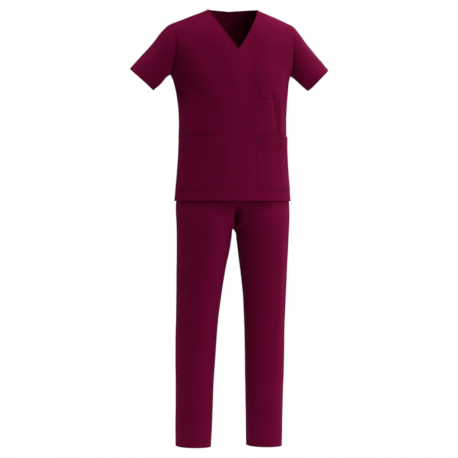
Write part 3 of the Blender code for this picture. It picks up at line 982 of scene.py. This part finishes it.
def waistbandPanel():
    height = trouserCut["waistBottom"] - trouserCut["waistTop"]
    along = stations(height, waistbandLook["meshStep"])
    turns = np.linspace(0, 2 * math.pi, 8 * waistbandLook["gathers"] + 1)
    size = readTable(legTable, trouserCut["waistBottom"] - along)[:, None, :]
    side = roundedPower(np.cos(turns), trouserCut["roundness"])
    depth = roundedPower(np.sin(turns), trouserCut["roundness"])
    height = np.broadcast_to(heightOf(trouserCut["waistBottom"] - along)[:, None], (len(along), len(turns)))
    points = np.stack([size[..., 2] * side, size[..., 1] + size[..., 3] * depth, height], -1)
    outward = Panel(along, turns, points, closed=True).normals
    if (outward[..., :2] * points[..., :2]).sum() < 0:
        outward = -outward
    wave = np.sin(turns * waistbandLook["gathers"] + 0.8 * np.sin(turns * 7)) - 1
    swell = np.sin(math.pi * (along / along[-1]))[:, None] ** 0.5
    points = points + outward * (waistbandLook["gatherDepth"] * wave * swell)[..., None]
    return facedPanel(along, turns, points, outward, closed=True)


addCloth(
    "waistbandCloth", [waistbandPanel()], ["waistband"],
    lambda places: np.ones(len(places)),
)


chestPocket = {
    "left": 0.0617, "right": 0.166, "top": 0.178, "bottom": 0.3125,
    "cornerWide": 0.0250, "cornerHigh": 0.0370,
    "wide": 0.112, "high": 0.136, "gape": {1: 0.0002},
    "hem": 0.020, "swell": 0.0005, "lift": 0.0002,
    "cut": {"flat": (0.125, 0.150), "area": 0.0165},
}
lowPocket = {
    "inner": 0.0625, "top": 0.446, "bottom": 0.632,
    "cornerWide": 0.0250, "cornerHigh": 0.0185,
    "wide": 0.190, "high": 0.186, "gape": {1: 0.0050, -1: 0.0022},
    "hem": 0.026, "swell": 0.0030, "lift": 0.0002,
    "cut": {"flat": (0.20, 0.215), "area": 0.0390},
}


# A patch pocket: a grid between its edges, laid on the front, with its mouth a little open.
def pocketPanel(side, outline, look):
    front, wide, high, gape = frontHalves[side], look["wide"], look["high"], look["gape"][side]
    s = stations(wide, garment["pocketStep"])
    t = stations(high, garment["pocketStep"], (high - look["hem"],))
    across, along = np.meshgrid(s / wide, t / high)
    rows, columns = outline(front, across, along)
    base = front.read(rows, columns)
    outward = unit(front.read(rows, columns, front.normals))
    edgeDistance = np.minimum(np.minimum(across, 1 - across) * wide, along * high)
    sewn = smoothStep(edgeDistance, 0.0, 0.030)
    mouth = smoothStep(along, 0.55, 1.0)
    lift = look["lift"] + garment["wall"]
    lift += look["swell"] * sewn * (0.45 + 0.55 * mouth) * (1 - 0.6 * across)
    lift += gape * mouth**2 * np.sin(math.pi * across**0.62) ** 1.6
    lift += stitchDent(edgeDistance - garment["edgeStitch"], 0.0002, 0.0010)
    lift += stitchDent((1 - along) * high - look["hem"], 0.0002, 0.0012)
    return facedPanel(t, s, base + outward * lift[..., None], outward)


# The drop of a pocket's points, with its lower corners cut off at a slant.
def pocketDrop(look, inset, along):
    lowest = look["bottom"] - look["cornerHigh"] * np.clip(1 - inset / look["cornerWide"], 0, 1)
    return lowest + (look["top"] - lowest) * along


def chestOutline(front, across, along):
    look = chestPocket
    x = look["left"] + (look["right"] - look["left"]) * across
    inset = np.minimum(x - look["left"], look["right"] - x)
    return front.find(x, heightOf(pocketDrop(look, inset, along)))


def lowOutline(front, across, along):
    look = lowPocket
    halfWidth = readTable(bodyTable, np.full(across.shape, look["top"] + 0.09))[..., 0]
    startShare = look["inner"] / halfWidth
    start = np.arcsin(startShare ** (topCut["bodyRoundness"] / 2)) / (math.pi / 2)
    columns = start + (1 - start) * across
    x = halfWidth * np.sin(columns * math.pi / 2) ** (2 / topCut["bodyRoundness"])
    return topCut["underarmDrop"] - pocketDrop(look, x - look["inner"], along), columns


pockets = []
for name, node, side, outline, look in (
    ("chestPocket", "chest_pocket", 1, chestOutline, chestPocket),
    ("pocketLeft", "pocket_left", 1, lowOutline, lowPocket),
    ("pocketRight", "pocket_right", -1, lowOutline, lowPocket),
):
    pockets.append((name, pocketPanel(side, outline, look), look))
    addCloth(name, [pockets[-1][1]], [node])


# Thread: short stitches on the stitched lines, each half sunk in the cloth.
thread = {
    "pitch": 0.0029, "length": 0.0022, "width": 0.00050, "height": 0.00028, "aim": 0.0008,
    "dark": (0.0900, 0.0010, 0.0190, 1.0), "light": (0.1500, 0.0040, 0.0400, 1.0), "roughness": 0.62,
}


def threadFinish(name, look):
    finish = Finish(name)
    place = finish.add("TexCoord", None, None, 3)
    strands = finish.add("TexNoise", None, {"Vector": place, "Scale": 1400.0, "Detail": 2.0})
    stops = ((0.35, look["dark"]), (0.65, look["light"]))
    bump = finish.add("Bump", None, {"Strength": 0.4, "Distance": 0.0001, "Height": strands})
    finish.feed(
        Base_Color=finish.add("ValToRGB", {"stops": stops}, {0: strands}),
        Roughness=look["roughness"], Normal=bump, Specular_IOR_Level=0.10, Sheen_Weight=0.05,
    )
    return finish.material


threadMaterial = threadFinish("wineRedThread", thread)


# The row and column of every point of a panel where a field first reaches a level.
def levelLine(panel, field, level):
    rows, columns = [], []
    for row, line in zip(panel.rows, field):
        over = np.nonzero(line >= level)[0]
        if line[0] < level and len(over):
            k = over[0]
            rows.append(row)
            columns.append(np.interp(level, line[k - 1 : k + 1], panel.columns[k - 1 : k + 1]))
    return np.array(rows), np.array(columns)


def addStitches(name, lines):
    work = bmesh.new()
    size = Matrix.Diagonal((thread["width"] / 2, thread["height"], thread["length"] / 2, 1.0))
    for panel, rows, columns in lines:
        rows, columns = spread(rows, columns)
        places, normals = panel.read(rows, columns), unit(panel.read(rows, columns, panel.normals))
        run = runAlong(places, 0)
        count = int(run[-1] / thread["pitch"])
        middles = (np.arange(count) + 0.5) * run[-1] / count

        def valuesAt(at, values):
            return np.stack([np.interp(at, run, values[:, axis]) for axis in range(3)], -1)

        here, outward = valuesAt(middles, places), valuesAt(middles, normals)
        before, after = middles - thread["aim"], middles + thread["aim"]
        ahead = unit(valuesAt(after, places) - valuesAt(before, places))
        aside = unit(np.cross(outward, ahead))
        up = np.cross(ahead, aside)
        for k in range(count):
            turned = Matrix((aside[k], up[k], ahead[k])).transposed().to_4x4()
            turned.translation = Vector(here[k])
            bmesh.ops.create_uvsphere(work, u_segments=6, v_segments=4, radius=1.0, matrix=turned @ size)
    bmesh.ops.recalc_face_normals(work, faces=work.faces)
    mesh = meshOf(name, work)
    mesh.shade_smooth()
    mesh.materials.append(threadMaterial)
    piece = addObject(name, mesh)
    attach(piece, "root")
    print("made", name, len(mesh.polygons), "faces")


acrossPanel = np.linspace(0, 1, 240)
topHemRow = topCut["hem"] - (topCut["length"] - topCut["underarmDrop"])
halves = [(True, half) for half in frontHalves.values()] + [(False, half) for half in backHalves.values()]
neckLines = []
for front, half in halves:
    fromNeck = neckDistance(front, half.points)
    neckLines.append((half, *levelLine(half, fromNeck, topCut["neckStitch"])))
addStitches("neckStitches", neckLines)
addStitches("topHemStitches", [(half, topHemRow, acrossPanel) for front, half in halves])
for side, hand in ((1, "Left"), (-1, "Right")):
    cuffRow = sleeveCut["length"] - sleeveCut["hem"]
    addStitches("cuffStitches" + hand, [(sleeves[side], cuffRow, acrossPanel * 2 * math.pi)])
    hemRow = legs[True, side].rows[-1] - trouserCut["hem"]
    hemLines = [(legs[front, side], hemRow, acrossPanel) for front in (True, False)]
    addStitches("legHemStitches" + hand, hemLines)
for name, panel, look in pockets:
    wide, high, inset = panel.columns[-1], panel.rows[-1], garment["edgeStitch"]
    down = np.linspace(inset, high, 120)
    level = inset + acrossPanel * (wide - 2 * inset)
    seams = [(panel, down, inset), (panel, inset, level), (panel, high - look["hem"], level)]
    if name == "chestPocket":
        seams.append((panel, down, wide - inset))
    addStitches(name + "Stitches", seams)


# The camera stands level, to the wearer's right of the front.
view = {"turn": -14.0, "distance": 14.0, "height": -0.743, "aside": -0.0128, "lens": 314.4}
turn = math.radians(view["turn"])
rightward = Vector((math.cos(turn), math.sin(turn), 0.0))
toCamera = Vector((math.sin(turn), -math.cos(turn), 0.0))
cameraData = bpy.data.cameras.new("camera")
cameraData.lens = view["lens"]
cameraData.sensor_width = 36.0
cameraData.clip_end = 100.0
camera = addObject("camera", cameraData)
camera.location = toCamera * view["distance"] + rightward * view["aside"] + Vector((0, 0, view["height"]))
camera.rotation_euler = (math.radians(90), 0, turn)
bpy.context.scene.camera = camera

studio = {
    "floorDrop": 1.80,
    "floorReach": 3.4,
    "floorFade": (0.35, 0.97),
    "floorGlow": 0.07,
    "fill": 0.055,
    "lampDistance": 4.5,
    # across (degrees to the right of the camera), up, size, power
    "lights": {
        "key": (45.0, 20.0, 2.2, 68.0),
        "front": (28.0, 40.0, 1.6, 24.0),
        "top": (10.0, 80.0, 2.2, 197.0),
        "rimLeft": (-100.0, 25.0, 2.2, 92.0),
        "rimRight": (100.0, 25.0, 2.2, 166.0),
        "back": (140.0, 32.0, 2.2, 105.0),
    },
}


def addLight(name, across, up, size, power):
    data = bpy.data.lights.new(name, "AREA")
    data.shape, data.size, data.energy = "SQUARE", size, power
    lamp = addObject(name, data)
    level = toCamera * math.cos(math.radians(across)) + rightward * math.sin(math.radians(across))
    aim = level * math.cos(math.radians(up)) + Vector((0, 0, math.sin(math.radians(up))))
    lamp.location = aim * studio["lampDistance"] + Vector((0, 0, view["height"]))
    lamp.rotation_euler = aim.to_track_quat("Z", "Y").to_euler()


for name, values in studio["lights"].items():
    addLight(name, *values)

# the studio's walls look white, and add only a little light of their own
world = bpy.data.worlds.new("studio")
world.use_nodes = True
walls = world.node_tree.nodes["Background"]
seen = Socket(world.node_tree, world.node_tree.nodes.new("ShaderNodeLightPath").outputs["Is Camera Ray"])
strength = seen * (1.0 - studio["fill"]) + studio["fill"]
walls.inputs["Color"].default_value = (1.0, 1.0, 1.0, 1.0)
world.node_tree.links.new(strength.socket, walls.inputs["Strength"])
bpy.context.scene.world = world
bpy.context.scene.view_settings.view_transform = "Standard"

floorSheet = bmesh.new()
bmesh.ops.create_circle(floorSheet, cap_ends=True, segments=96, radius=studio["floorReach"])
bmesh.ops.translate(floorSheet, verts=floorSheet.verts, vec=(0, 0, heightOf(studio["floorDrop"])))
floorMesh = meshOf("floor", floorSheet)
floorFinish = Finish("paleFloor")
floorFinish.feed(
    Base_Color=(0.92, 0.92, 0.92, 1.0), Roughness=0.9, Specular_IOR_Level=0.0,
    Emission_Color=(1.0, 1.0, 1.0, 1.0), Emission_Strength=studio["floorGlow"],
)
floorFinish.fadeOut(studio["floorReach"], studio["floorFade"])
floorMesh.materials.append(floorFinish.material)
floor = addObject("floor", floorMesh)
print("camera, lights and floor ready")
